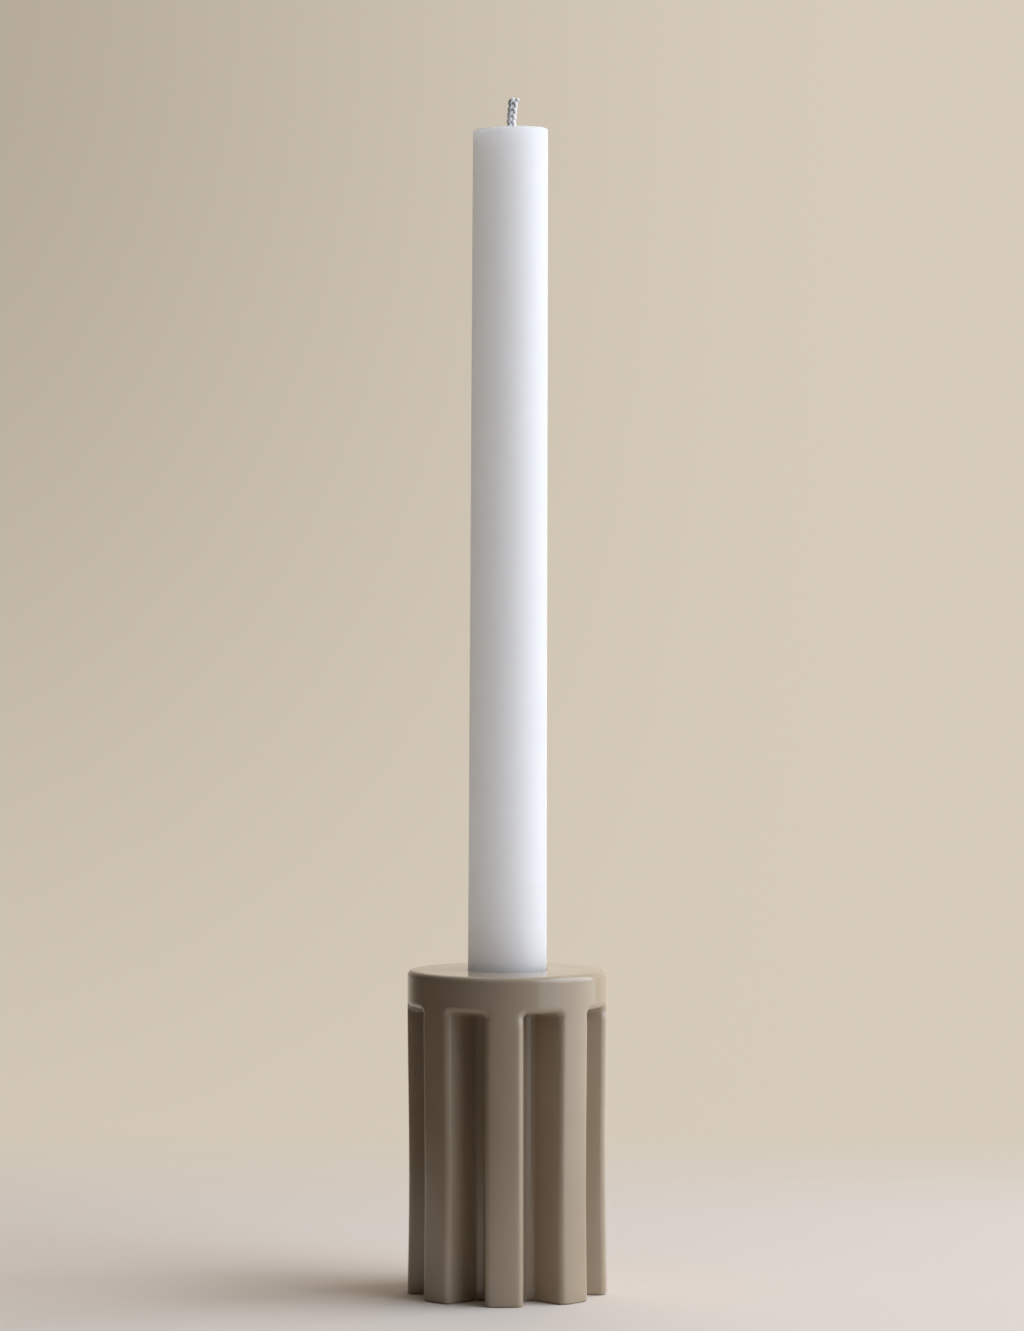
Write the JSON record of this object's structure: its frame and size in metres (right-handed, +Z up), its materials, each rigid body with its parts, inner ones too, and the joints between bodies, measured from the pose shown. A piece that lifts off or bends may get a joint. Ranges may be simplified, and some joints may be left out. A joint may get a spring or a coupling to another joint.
{
  "type": "taper candle holder",
  "caption": "Short fluted stoneware column with a socket in its flat top, holding an upright dinner candle with a braided wick.",
  "frame": {"origin": "centre of the foot, on the surface that the holder stands on", "axes": "+Z up along the holder's axis; -Y is the front, where the picture looks from; the candle leans a quarter of a degree towards +X"},
  "size_m": [0.056, 0.056, 0.3341],
  "materials": {
    "glazed_stoneware": "glossy greige glaze",
    "candle_wax": "satin white wax",
    "braided_cotton": "waxed cotton braid"
  },
  "bodies": {
    "root": {"holder": "glazed_stoneware", "candle": "candle_wax", "wick": "braided_cotton"}
  },
  "joints": []
}
